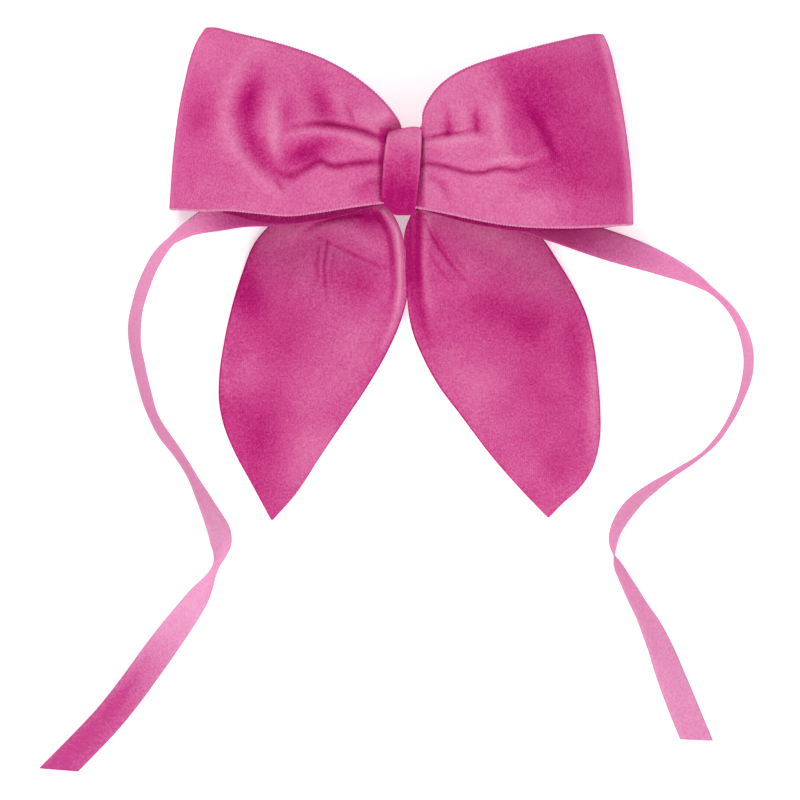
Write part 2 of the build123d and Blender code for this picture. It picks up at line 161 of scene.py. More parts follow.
def unit(vectors):
    """The vectors, row by row, at length 1."""
    return vectors / np.linalg.norm(vectors, axis=1)[:, None]


def hermite(knots, values, at):
    """A smooth curve through rows of values, one row to a knot, read at the positions `at`."""
    slopes = np.gradient(values, knots, axis=0)
    at = np.clip(at, knots[0], knots[-1])
    i = np.clip(np.searchsorted(knots, at, side="right") - 1, 0, len(knots) - 2)
    span = (knots[i + 1] - knots[i])[:, None]
    k = (at - knots[i])[:, None] / span
    return (values[i] * (1 + 2 * k) * (1 - k) ** 2 + values[i + 1] * k ** 2 * (3 - 2 * k)
            + slopes[i] * span * k * (1 - k) ** 2 - slopes[i + 1] * span * k ** 2 * (1 - k))


def smooth_line(points, at):
    """Points at the fractions `at` of a smooth curve through the given points."""
    points = np.asarray(points, float)
    run = distance_along(points)
    return hermite(run / run[-1], points, at)


def smooth_value(table, at):
    """Reads a table of (position, value) pairs at `at`, as a smooth curve."""
    knots, values = np.array(table, float).T
    return hermite(knots, values[:, None], at.ravel())[:, 0].reshape(at.shape)


def ramp(low, high, value):
    """0 below low, 1 above high, smooth between."""
    k = np.clip((value - low) / (high - low), 0, 1)
    return k * k * (3 - 2 * k)


LINE_POINTS = 30                 # points that a crease's line is measured through


def nearest_on_line(line, x, y):
    """Distance to a plan line, which side of it, and how far along, for each point."""
    line = smooth_line(line, np.linspace(0, 1, LINE_POINTS))
    start, step = line[:-1], np.diff(line, axis=0)
    rel_x = x.ravel()[:, None] - start[:, 0]
    rel_y = y.ravel()[:, None] - start[:, 1]
    k = np.clip((rel_x * step[:, 0] + rel_y * step[:, 1]) / (step ** 2).sum(1), 0, 1)
    gap_x, gap_y = rel_x - k * step[:, 0], rel_y - k * step[:, 1]
    distance = np.hypot(gap_x, gap_y)
    nearest = distance.argmin(1)
    rows = np.arange(len(nearest))
    side = np.sign(step[nearest, 0] * gap_y[rows, nearest] - step[nearest, 1] * gap_x[rows, nearest])
    along = (nearest + k[rows, nearest]) / len(start)
    shape = x.shape
    return distance[rows, nearest].reshape(shape), side.reshape(shape), along.reshape(shape)


# The roll beside a crease: its distance from the crease and its width, in crease widths.
ROLL_PLACE, ROLL_WIDTH = 1.6, 1.3


class Folds:
    """Adds up creases, ridges and dents over a plan, as height in mm and as painted light and shade."""

    def __init__(self, x, y):
        self.x, self.y = x, y
        self.height = np.zeros_like(x)
        self.shade = np.zeros_like(x)

    def crease(self, line, depth, width, lean=0.0, shade=0.0, taper=(1.0, 1.0)):
        """A valley along a line, painted darker by a negative shade. lean raises a roll along its left side,
        or its right if negative.
        """
        distance, side, along = nearest_on_line(line, self.x, self.y)
        strength = np.interp(along, np.linspace(0, 1, len(taper)), taper)
        signed = distance * side * math.copysign(1.0, lean)
        valley = np.exp(-(distance / width) ** 2)
        roll = np.exp(-((signed - ROLL_PLACE * width) / (ROLL_WIDTH * width)) ** 2)
        self.height += strength * (abs(lean) * roll - depth * valley)
        self.shade += strength * shade * valley

    def ridge(self, line, height, width, shade=0.0, taper=(1.0, 1.0)):
        """A raised roll along a line, with a painted highlight where shade is positive and painted shade
        where it is negative.
        """
        self.crease(line, -height, width, 0.0, shade, taper)

    def tone(self, centre, size, shade, turn=0.0):
        """A soft oval painted lighter where shade is positive and darker where it is negative: painted light
        and shade.
        """
        self.dent(centre, size, 0.0, shade, turn)

    def dent(self, centre, size, depth, shade=0.0, turn=0.0):
        """A soft oval dent, or a bump where depth is negative, painted darker or lighter by shade; turn is
        its tilt in degrees.
        """
        dx, dy = self.x - centre[0], self.y - centre[1]
        c, s = math.cos(math.radians(turn)), math.sin(math.radians(turn))
        across, up = (dx * c + dy * s) / size[0], (dy * c - dx * s) / size[1]
        oval = np.exp(-(across ** 2 + up ** 2))
        self.height -= depth * oval
        self.shade += shade * oval


NOISE_START = (17.3, 29.1)       # cells, where the pattern stands at the plan's origin


def value_noise(x, y, scale, seed):
    """Smooth random values from -1 to 1 over a plan, with features of about `scale` mm."""
    cells = 64
    table = np.random.default_rng(seed).uniform(-1, 1, (cells, cells))
    u, v = x / scale + NOISE_START[0], y / scale + NOISE_START[1]
    i, j = np.floor(u).astype(int), np.floor(v).astype(int)
    ku, kv = u - i, v - j
    ku, kv = ku * ku * (3 - 2 * ku), kv * kv * (3 - 2 * kv)
    i0, i1, j0, j1 = i % cells, (i + 1) % cells, j % cells, (j + 1) % cells
    low = table[i0, j0] * (1 - ku) + table[i1, j0] * ku
    high = table[i0, j1] * (1 - ku) + table[i1, j1] * ku
    return low * (1 - kv) + high * kv


def set_shade(obj, values):
    """Stores painted light and shade, with some random tone, at each point for the velvet materials."""
    layer = obj.data.attributes.new("tone_and_painted_light", "FLOAT", "POINT")
    layer.data.foreach_set("value", np.clip(values, -1, 1).astype(np.float32).ravel())


def thicken(obj, gauge):
    """Gives a cloth surface its thickness, evenly to both sides."""
    modifier = obj.modifiers.new("thickness", "SOLIDIFY")
    modifier.thickness = gauge * MM
    modifier.offset = 0.0
    modifier.use_even_offset = True
    modifier.use_rim = True


# ------------------------------------------------------------------ materials
def new_material(name):
    """A material with its node tree, its Principled shader and a node adder."""
    material = bpy.data.materials.new(name)
    material.use_nodes = True
    tree = material.node_tree
    shader = tree.nodes["Principled BSDF"]

    def add(kind, links=(), **settings):
        node = tree.nodes.new(kind)
        for key, value in settings.items():
            if hasattr(node, key):
                setattr(node, key, value)
            else:
                node.inputs[key.replace("_", " ")].default_value = value
        for source, socket in links:
            tree.links.new(source, node.inputs[socket])
        return node

    return material, tree, shader, add


def floor_material():
    """One pale colour with an even glow, like a light table."""
    material, _, shader, _ = new_material("floor")
    shader.inputs["Base Color"].default_value = (*FLOOR_COLOUR, 1)
    shader.inputs["Roughness"].default_value = 0.75
    shader.inputs["Specular IOR Level"].default_value = 0.1
    shader.inputs["Emission Color"].default_value = (1, 1, 1, 1)
    shader.inputs["Emission Strength"].default_value = FLOOR_GLOW
    return material


# How much each part moves the velvet's colour: the mesh's painted light and shade, the pile's pattern, and
# painted shade on faces seen edge-on.
TONE_AND_PAINTED_LIGHT_GAIN = 0.5
TUFT_GAIN = 0.22
SPECKLE_GAIN = 1.05
PAINTED_EDGE_SHADE_GAIN = -0.5
PILE_ROW_PITCH = 0.62            # mm
WAVE_PERIOD = 0.314              # m, a wave texture's period at scale 1


def velvet(name, colours, patch, weave):
    """Short-pile velvet: painted light and shade from the mesh, soft patches, fine rows of pile, speckle, and
    painted shade on faces seen edge-on.
    """
    material, tree, shader, add = new_material(name)
    place = add("ShaderNodeTexCoord").outputs["Object"]
    # Painted light and shade stored on the mesh, with some random tone.
    tone_and_painted_light = add("ShaderNodeAttribute", attribute_name="tone_and_painted_light").outputs["Fac"]
    patches = add("ShaderNodeTexNoise", [(place, "Vector")], Scale=75.0, Detail=3.0, Roughness=0.55)
    tufts = add("ShaderNodeTexNoise", [(place, "Vector")], Scale=480.0, Detail=3.0, Roughness=0.6)
    speckle = add("ShaderNodeTexNoise", [(place, "Vector")], Scale=1500.0, Detail=3.0, Roughness=0.7)
    # Painted shade: faces seen edge-on are darkened, which draws dark outlines.
    facing = add("ShaderNodeLayerWeight", Blend=0.22).outputs["Facing"]
    rows = add("ShaderNodeTexWave", [(place, "Vector")], bands_direction="X",
               Scale=WAVE_PERIOD / (PILE_ROW_PITCH * MM), Distortion=2.2, Detail=2.0, Detail_Scale=1.4)

    def scaled(value, gain, centre=0.5):
        """(value - centre) * gain."""
        shift = add("ShaderNodeMath", [(value, 0)], operation="SUBTRACT")
        shift.inputs[1].default_value = centre
        gained = add("ShaderNodeMath", [(shift.outputs[0], 0)], operation="MULTIPLY")
        gained.inputs[1].default_value = gain
        return gained.outputs[0]

    total = scaled(tone_and_painted_light, TONE_AND_PAINTED_LIGHT_GAIN, -1.0)
    parts = [scaled(patches.outputs["Fac"], patch), scaled(tufts.outputs["Fac"], TUFT_GAIN),
             scaled(speckle.outputs["Fac"], SPECKLE_GAIN), scaled(rows.outputs["Fac"], weave),
             scaled(facing, PAINTED_EDGE_SHADE_GAIN, 0.0)]
    for part in parts:
        total = add("ShaderNodeMath", [(total, 0), (part, 1)], operation="ADD").outputs[0]
    tint = add("ShaderNodeValToRGB", [(total, "Fac")])
    stops = tint.color_ramp.elements
    stops[0].color = (*colours[0], 1)
    stops[1].color = (*colours[-1], 1)
    for i, colour in enumerate(colours[1:-1], 1):
        stops.new(i / (len(colours) - 1)).color = (*colour, 1)
    tree.links.new(tint.outputs["Color"], shader.inputs["Base Color"])

    pile = add("ShaderNodeMath", [(speckle.outputs["Fac"], 0), (rows.outputs["Fac"], 1)], operation="ADD")
    bump = add("ShaderNodeBump", [(pile.outputs[0], "Height")], Strength=0.35, Distance=0.12 * MM)
    tree.links.new(bump.outputs["Normal"], shader.inputs["Normal"])
    shader.inputs["Roughness"].default_value = 0.9
    shader.inputs["Specular IOR Level"].default_value = 0.06
    shader.inputs["Sheen Weight"].default_value = 0.1
    shader.inputs["Sheen Roughness"].default_value = 0.42
    shader.inputs["Sheen Tint"].default_value = (1.0, 0.72, 0.88, 1)
    return material


STEEL_GRAIN = 60.0               # how many times longer the grain is than it is wide


def two_tone(add, value, low, dark, high, light):
    """A colour for a value: dark up to low, light from high on."""
    tint = add("ShaderNodeValToRGB", [(value, "Fac")])
    first, last = tint.color_ramp.elements
    first.position, first.color = low, (*dark, 1)
    last.position, last.color = high, (*light, 1)
    return tint.outputs["Color"]


def steel(name, colour, roughness):
    """Nickel-plated pressed steel: fine lengthwise grain and soft blotches of wear."""
    material, tree, shader, add = new_material(name)
    place = add("ShaderNodeTexCoord").outputs["Object"]
    stretched = add("ShaderNodeMapping", [(place, "Vector")], Scale=(1.0, STEEL_GRAIN, STEEL_GRAIN))
    lines = add("ShaderNodeTexNoise", [(stretched.outputs[0], "Vector")], Scale=120.0, Detail=4.0)
    blotches = add("ShaderNodeTexNoise", [(place, "Vector")], Scale=260.0, Detail=3.0)
    wear = add("ShaderNodeMapRange", [(blotches.outputs["Fac"], "Value")],
               From_Min=0.3, From_Max=0.75, To_Min=roughness * 0.8, To_Max=roughness * 1.5)
    tree.links.new(wear.outputs[0], shader.inputs["Roughness"])
    tint = two_tone(add, lines.outputs["Fac"], 0.25, [c * 0.72 for c in colour], 0.7, colour)
    tree.links.new(tint, shader.inputs["Base Color"])
    bump = add("ShaderNodeBump", [(lines.outputs["Fac"], "Height")], Strength=0.12, Distance=0.03 * MM)
    tree.links.new(bump.outputs["Normal"], shader.inputs["Normal"])
    shader.inputs["Metallic"].default_value = 1.0
    return material


def fibre(name, dark, light, scale, bump_depth):
    """Felt or thread: matted fibres, darker in between."""
    material, tree, shader, add = new_material(name)
    place = add("ShaderNodeTexCoord").outputs["Object"]
    strands = add("ShaderNodeTexNoise", [(place, "Vector")], Scale=scale, Detail=5.0, Distortion=1.5)
    tint = two_tone(add, strands.outputs["Fac"], 0.3, dark, 0.7, light)
    tree.links.new(tint, shader.inputs["Base Color"])
    bump = add("ShaderNodeBump", [(strands.outputs["Fac"], "Height")], Strength=0.6, Distance=bump_depth)
    tree.links.new(bump.outputs["Normal"], shader.inputs["Normal"])
    shader.inputs["Roughness"].default_value = 0.95
    shader.inputs["Sheen Weight"].default_value = 0.3
    return material


# Velvet colours, from the deepest painted shade to the palest painted light.
BOW_PINKS = ((0.37, 0.003, 0.125), (0.49, 0.026, 0.185), (0.575, 0.075, 0.26), (0.65, 0.15, 0.335),
             (0.71, 0.24, 0.42))
RIBBON_PINKS = ((0.52, 0.05, 0.23), (0.60, 0.125, 0.32), (0.69, 0.225, 0.43), (0.76, 0.33, 0.53))
VELVET = velvet("velvet", BOW_PINKS, patch=0.30, weave=0.06)
RIBBON_VELVET = velvet("ribbon_velvet", RIBBON_PINKS, patch=0.15, weave=0.04)
SELVEDGE = fibre("selvedge", (0.52, 0.06, 0.24), (0.78, 0.30, 0.50), 1800.0, 0.12 * MM)
CLIP_STEEL = steel("clip_steel", (0.74, 0.73, 0.71), 0.26)
SPRING_STEEL = steel("spring_steel", (0.66, 0.65, 0.64), 0.2)
PIN_STEEL = steel("pin_steel", (0.80, 0.80, 0.80), 0.14)
FELT = fibre("felt", (0.30, 0.012, 0.11), (0.50, 0.05, 0.22), 1500.0, 0.25 * MM)
THREAD = fibre("thread", (0.40, 0.02, 0.16), (0.62, 0.10, 0.32), 2600.0, 0.08 * MM)


# ------------------------------------------------------------------ streamers
RIBBON_WIDTH = 0.0100            # m
RIBBON_GAUGE = 0.0006            # m
RIBBON_STEP = 0.0007             # m, the mesh's pitch along the ribbon
RIBBON_COLUMNS = 13
RIBBON_RIPPLE = 0.00010          # m
RIBBON_CLEARANCE = 0.00035       # m, the least height of a ribbon's lower edge
CUT_REACH = 0.014                # m, how far from its end the slanting cut begins
# The middle line of each ribbon in m, from under the knot to the cut end.
LEFT_ROUTE = (
    (-0.0006, 0.0330, 0.0178),
    (-0.0110, 0.0284, 0.0164),
    (-0.0240, 0.0228, 0.0116),
    (-0.0390, 0.0204, 0.0054),
    (-0.0530, 0.0209, 0.0024),
    (-0.0670, 0.0175, 0.0045),
    (-0.0792, 0.0098, 0.0054),
    (-0.0862, -0.0034, 0.0054),
    (-0.0900, -0.0190, 0.0054),
    (-0.0866, -0.0354, 0.0054),
    (-0.0826, -0.0496, 0.0054),
    (-0.0724, -0.0626, 0.0054),
    (-0.0650, -0.0770, 0.0054),
    (-0.0585, -0.0906, 0.0054),
    (-0.0654, -0.1050, 0.0052),
    (-0.0790, -0.1233, 0.0030),
    (-0.0945, -0.1449, 0.0008),
    (-0.1054, -0.1566, 0.0006),
    (-0.1146, -0.1658, 0.0006),
)
RIGHT_ROUTE = (
    (0.0006, 0.0330, 0.0178),
    (0.0110, 0.0280, 0.0164),
    (0.0240, 0.0228, 0.0116),
    (0.0380, 0.0192, 0.0062),
    (0.0520, 0.0149, 0.0020),
    (0.0680, 0.0098, 0.0010),
    (0.0840, 0.0046, 0.0034),
    (0.0998, -0.0024, 0.0053),
    (0.1120, -0.0132, 0.0054),
    (0.1170, -0.0290, 0.0054),
    (0.1122, -0.0452, 0.0054),
    (0.1028, -0.0594, 0.0054),
    (0.0876, -0.0684, 0.0054),
    (0.0752, -0.0778, 0.0054),
    (0.0688, -0.0910, 0.0054),
    (0.0763, -0.1055, 0.0052),
    (0.0848, -0.1205, 0.0038),
    (0.0914, -0.1386, 0.0012),
    (0.0986, -0.1558, 0.0006),
)
# How far each ribbon leans over: (share of its length, degrees from flat).
LEFT_LEAN = ((0, 0), (0.19, 4), (0.22, 15), (0.24, 38), (0.26, 60), (0.28, 75), (0.30, 72), (0.33, 69),
             (0.40, 67.5), (0.46, 69), (0.50, 71.5), (0.54, 71), (0.57, 74), (0.60, 70), (0.62, 62),
             (0.64, 51), (0.66, 43), (0.672, 47), (0.685, 65), (0.698, 78), (0.71, 74), (0.725, 59),
             (0.74, 46), (0.76, 34), (0.78, 25), (0.80, 17), (0.84, 4), (0.90, 0), (1, 0))
RIGHT_LEAN = ((0, 0), (0.25, 0), (0.28, 20), (0.30, 37), (0.32, 51), (0.34, 60), (0.36, 69), (0.38, 77),
              (0.41, 80), (0.44, 76), (0.47, 72), (0.50, 75), (0.54, 80), (0.58, 83), (0.62, 83),
              (0.64, 81), (0.66, 75), (0.68, 69), (0.71, 64), (0.74, 69), (0.76, 83), (0.775, 104),
              (0.80, 115), (0.82, 120), (0.84, 127), (0.86, 136), (0.88, 144), (0.92, 158), (0.96, 173),
              (1, 180))
# Painted sheen along each ribbon's length, paler where it leans on edge: -1 is full colour, 1 and over the
# palest.
LEFT_PAINTED_SHEEN = ((0, -0.9), (0.22, -0.6), (0.27, 0.7), (0.34, 1.0), (0.60, 1.0), (0.70, 1.3), (0.79, 0.6),
             (0.88, -0.5), (1, -0.9))
RIGHT_PAINTED_SHEEN = ((0, -1.0), (0.22, -0.9), (0.27, -0.3), (0.33, 0.4), (0.40, 0.75), (0.75, 0.85), (0.88, 0.6),
              (1, 0.4))


def route_spline(name, route):
    """The route as one smooth NURBS line in metres."""
    curve = bpy.data.curves.new(name, "CURVE")
    curve.dimensions = "3D"
    spline = curve.splines.new("NURBS")
    spline.points.add(len(route) - 1)
    for point, place in zip(spline.points, route):
        point.co = (*place, 1)
    spline.order_u = 3
    spline.use_endpoint_u = True
    spline.resolution_u = 24
    obj = bpy.data.objects.new(name, curve)
    line = bpy.data.meshes.new_from_object(obj)
    points = np.array([v.co for v in line.vertices])
    bpy.data.objects.remove(obj)
    bpy.data.meshes.remove(line)
    bpy.data.curves.remove(curve)
    return points


def streamer(name, route, lean, tone, slant, turned, streak=0.0):
    """A long narrow ribbon along its route, leaning over along the curves and cut on the slant.

    slant is the slope of the cut, turned is the side the ribbon leans to, 1 or -1, and streak
    darkens the middle of its last stretch.
    """
    line = route_spline(name + "_route", route)
    length = distance_along(line)[-1]
    at = np.linspace(0, length, int(length / RIBBON_STEP))
    line = line_at(line, at)
    forward = unit(np.gradient(line, axis=0))
    side = unit(np.stack([-forward[:, 1], forward[:, 0], np.zeros(len(at))], 1))
    up = np.cross(forward, side)
    bank = np.radians(smooth_value(lean, at / length))
    # Near the floor the ribbon leans only as far as its width has room for.
    room = np.arcsin(np.clip((line[:, 2] - RIBBON_CLEARANCE) / (RIBBON_WIDTH / 2), 0, 1))
    bank = np.where(bank < math.pi / 2, np.minimum(bank, room), np.maximum(bank, math.pi - room))
    sway = turned * bank
    width_way = np.cos(sway)[:, None] * side + np.sin(sway)[:, None] * up
    face_way = -np.sin(sway)[:, None] * side + np.cos(sway)[:, None] * up
    # Painted sheen: the ribbon is paler where it leans on edge.
    pale = smooth_value(tone, at / length)

    across = np.linspace(-0.5, 0.5, RIBBON_COLUMNS) * RIBBON_WIDTH
    cut = slant * ramp(length - CUT_REACH, length, at)
    points, shades = [], []
    for sign, order in ((1, across), (-1, across[::-1])):
        for v in order:
            share = 2 * v / RIBBON_WIDTH
            lift = sign * RIBBON_GAUGE / 2 * max(1 - share ** 6, 0.25)
            ripple = RIBBON_RIPPLE * np.sin(at * 410 + v * 300) * np.sin(at * 97)
            offset = face_way * (lift + ripple)[:, None] + forward * (cut * v)[:, None]
            points.append(line + width_way * v + offset)
            middle = streak * ramp(0.80, 0.90, at / length) * math.exp(-((share + 0.25) / 0.35) ** 2)
            shades.append(pale - middle + 0.25 * share ** 4)
    rows, columns = len(at), 2 * RIBBON_COLUMNS
    faces = grid_faces(rows, columns, wrap_columns=True) + end_caps(rows, columns)
    obj = mesh_object(name + "_ribbon", np.stack(points, 1).reshape(-1, 3), faces)
    set_shade(obj, np.stack(shades, 1))
    obj.data.materials.append(RIBBON_VELVET)
    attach(obj, ROOT)
    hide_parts(name)


camera()
studio()
streamer("left_streamer", LEFT_ROUTE, LEFT_LEAN, LEFT_PAINTED_SHEEN, slant=-0.85, turned=-1, streak=0.5)
streamer("right_streamer", RIGHT_ROUTE, RIGHT_LEAN, RIGHT_PAINTED_SHEEN, slant=-0.47, turned=1)


# ------------------------------------------------------------------ bow loops
LOOP_GAUGE = 0.9                 # mm
LOOP_ROWS, LOOP_COLUMNS = 236, 140
LOOP_BULGE = 1.2                 # mm, how far the front stands out between its two edges
CORNER_TUCK = 3.5                # mm
LOOP_FOLD_SHARE = 0.72           # how deep the folds are built, as a share of what they say
# The cloth's height in mm: out along the front (0 to 0.5), then back underneath (0.5 to 1).
LOOP_RISE = ((0, 24.6), (0.06, 27.0), (0.14, 29.8), (0.24, 31.0), (0.34, 26.5), (0.42, 17.5), (0.47, 10.5),
             (0.50, 6.0), (0.53, 2.6), (0.58, 0.95), (0.66, 2.5), (0.76, 6.4), (0.86, 11.0), (0.94, 15.2),
             (1, 18.6))


def patch(lower, upper, inner, outer, along, across):
    """A plan filled in between four edge lines (a Coons patch), in mm."""
    low, high = smooth_line(lower, along.ravel()), smooth_line(upper, along.ravel())
    near, far = smooth_line(inner, across.ravel()), smooth_line(outer, across.ravel())
    u, t = along.ravel()[:, None], across.ravel()[:, None]
    a, b, c, d = (np.array(p, float) for p in (lower[0], lower[-1], upper[0], upper[-1]))
    corners = (1 - u) * (1 - t) * a + u * (1 - t) * b + (1 - u) * t * c + u * t * d
    plan = (1 - t) * low + t * high + (1 - u) * near + u * far - corners
    return plan[:, 0].reshape(along.shape), plan[:, 1].reshape(along.shape)


def loop(name, lower, back_lower, upper, inner, outer, fold, seed):
    """One bow loop: a wide ribbon from the knot, round the outer end and back underneath."""
    w, t = np.meshgrid(np.linspace(0, 1, LOOP_ROWS), np.linspace(0, 1, LOOP_COLUMNS), indexing="ij")
    along = 1 - np.abs(1 - 2 * w) ** 1.5
    front = ramp(0.54, 0.47, w)
    x, y = patch(lower, upper, inner, outer, along, t)
    back_x, back_y = patch(back_lower, upper, inner, outer, along, t)
    x, y = front * x + (1 - front) * back_x, front * y + (1 - front) * back_y
    z = smooth_value(LOOP_RISE, w)
    z += LOOP_BULGE * (1 - (2 * t - 1) ** 2) * ramp(0.0, 0.1, w) * ramp(0.5, 0.35, w)
    # The upper inner corner tucks in under the band.
    on_front = ramp(0.50, 0.40, w)
    z -= CORNER_TUCK * on_front * ramp(7.0, 3.5, np.abs(x)) * ramp(41.0, 46.0, y) * ramp(52.0, 48.5, y)

    folds = Folds(x, y)
    fold(folds)
    z += LOOP_FOLD_SHARE * on_front * ramp(5.0, 10.0, np.abs(x)) * folds.height
    z += 0.30 * value_noise(x, y, 13.0, seed) * ramp(1.0, 0.9, w) * ramp(0, 0.06, w) * on_front
    z += 0.05 * value_noise(x, y, 2.7, seed + 1) * on_front
    points = np.stack([x, y, z], -1) * MM
    obj = mesh_object(name + "_cloth", points.reshape(-1, 3), grid_faces(LOOP_ROWS, LOOP_COLUMNS))
    # Painted shade: the band's shadow beside it, a dark outline round the outer end, and the back layer in
    # shade underneath.
    shown = ramp(0.56, 0.50, w)
    painted_band_shadow = ramp(8.2, 6.8, np.abs(x)) * ramp(49.0, 46.5, y)
    painted_end_edge_shade = 0.6 * ramp(0.482, 0.496, w)
    shade = shown * (folds.shade - 0.9 * painted_band_shadow - painted_end_edge_shade) - 0.7 * (1 - shown)
    set_shade(obj, shade + 0.05 * value_noise(x, y, 9.0, seed + 2))
    obj.data.materials.append(VELVET)
    thicken(obj, LOOP_GAUGE)
    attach(obj, ROOT)
    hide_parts(name)
    beads = [selvedge(f"{name}_{place}_selvedge", points[:LOOP_ROWS // 2, column], material)
             for place, column, material in (("lower", 0, SELVEDGE), ("upper", -1, THREAD))]


BEAD_PITCH = 1.0 * MM
BEAD_RINGS, BEAD_SIDES = 4, 8    # rings to a bead, corners to a ring
BEAD_RADIUS, BEAD_SWELL = 0.46 * MM, 0.11 * MM
BEAD_LIFT = 0.2 * MM


def selvedge(name, line, material):
    """The ribbon's woven edge: a fine beaded cord along a line in metres."""
    length = distance_along(line)[-1]
    at = np.linspace(0, length, int(length / BEAD_PITCH * BEAD_RINGS))
    line = line_at(line, at) + (0, 0, BEAD_LIFT)
    forward = unit(np.gradient(line, axis=0))
    side = unit(np.cross(forward, np.array([0.0, 0.0, 1.0])))
    up = np.cross(side, forward)
    radius = BEAD_RADIUS + BEAD_SWELL * np.sin(2 * math.pi * at / BEAD_PITCH)
    radius *= ramp(-0.001, 0.002, at) * ramp(length + 0.001, length - 0.002, at)
    angles = np.linspace(0, 2 * math.pi, BEAD_SIDES, endpoint=False)[None, :, None]
    spokes = np.cos(angles) * side[:, None] + np.sin(angles) * up[:, None]
    rings = line[:, None] + radius[:, None, None] * spokes
    rows = len(at)
    caps = [face[::-1] for face in end_caps(rows, BEAD_SIDES)]
    obj = mesh_object(name, rings.reshape(-1, 3), grid_faces(rows, BEAD_SIDES, wrap_columns=True) + caps)
    obj.data.materials.append(material)
    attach(obj, ROOT)
    return obj


def left_loop_folds(f):
    """Pleats spreading from the knot, a C-shaped hollow in the middle and soft light ridges, with painted
    shade in the creases and hollow and painted highlights on the ridges.
    """
    # Painted light over the whole loop, more towards its top and its lower edge.
    f.shade += 0.28 + 0.16 * ramp(62, 78, f.y) + 0.10 * ramp(34, 24, f.y)
    f.crease([(-5.4, 43.7), (-11.4, 46.2), (-19.3, 48.1), (-29.2, 48.6), (-37.0, 47.4)],
             2.1, 1.3, -1.3, -0.90, (0.8, 1, 1, 0.8, 0.2))
    f.ridge([(-8.0, 41.8), (-14.5, 44.2), (-22.5, 46.2), (-31.5, 46.8), (-37.5, 45.2)], 1.7, 1.5, 0.40,
            (0.6, 1, 1, 1, 0.4))
    f.tone((-28.0, 43.0), (8.5, 2.2), -0.45, 6)
    f.crease([(-6.0, 36.8), (-16.3, 35.9), (-23.6, 35.2), (-26.6, 36.6), (-31.0, 34.4), (-37.5, 31.8),
              (-42.0, 33.6)], 1.9, 1.2, 0.9, -0.95, (0.7, 1, 1, 0.9, 0.9, 0.6, 0.2))
    f.tone((-31.5, 39.0), (7.0, 3.4), -1.25, 12)
    f.dent((-31.0, 38.6), (6.0, 3.0), 1.5, 0.0, 12)
    f.crease([(-47.0, 65.5), (-50.2, 59.0), (-51.2, 51.6), (-48.9, 42.8), (-43.8, 35.8), (-38.0, 31.8)],
             1.6, 3.9, 0.0, -0.90, (0.4, 1, 1, 1, 0.9, 0.5))
    f.tone((-48.6, 57.5), (3.6, 7.0), -0.35, -12)
    f.ridge([(-47.9, 76.0), (-54.5, 66.0), (-58.4, 54.5), (-56.2, 43.0), (-48.6, 33.2), (-40.4, 26.2)],
            1.3, 2.5, 0.42, (0.3, 0.8, 1, 1, 1, 0.5))
    f.ridge([(-41.5, 60.5), (-42.2, 52.0), (-42.0, 43.0), (-41.2, 35.4)], 1.3, 2.1, 0.5, (0.3, 1, 1, 0.7))
    f.dent((-26.4, 55.6), (3.4, 5.8), 1.3, 0.0, 24)
    f.tone((-26.4, 55.6), (3.6, 6.2), -0.95, 24)
    f.tone((-37.6, 52.5), (2.6, 5.0), -0.45, 0)
    f.crease([(-19.0, 56.5), (-16.8, 52.5), (-15.4, 49.0)], 0.9, 0.9, 0.4, -0.35, (0.3, 1, 0.6))
    f.ridge([(-23.0, 60.0), (-19.5, 55.0), (-18.8, 50.0)], 0.7, 1.6, 0.20, (0.3, 1, 0.5))
    f.ridge([(-14.0, 52.0), (-9.5, 50.8), (-5.5, 51.5)], 0.6, 2.2, 0.35)
    f.tone((-8.0, 52.0), (5.0, 4.5), 0.25)
    f.tone((-66.5, 50.5), (5.5, 8.0), -0.55)
    f.tone((-62.0, 72.0), (6.0, 6.0), 0.15)
    f.tone((-32.0, 68.5), (12.0, 3.5), -0.12, -30)
    f.tone((-48.0, 25.0), (14.0, 4.0), -0.15)
    f.tone((-24.0, 30.0), (12.0, 2.6), -0.02)
    f.crease([(-41.2, 30.2), (-39.6, 27.6)], 0.7, 0.8, 0.0, -0.5)
    f.crease([(-6.4, 30.2), (-10.5, 29.8), (-15.5, 27.0)], 0.8, 1.2, 0.4, -0.45, (0.8, 1, 0.3))
    f.tone((-11.5, 26.6), (4.6, 2.2), -0.40, 10)
    f.ridge([(-76.4, 22.5), (-74.6, 42.3), (-71.7, 61.0), (-66.2, 78.0)], 0.1, 1.0, 0.30)


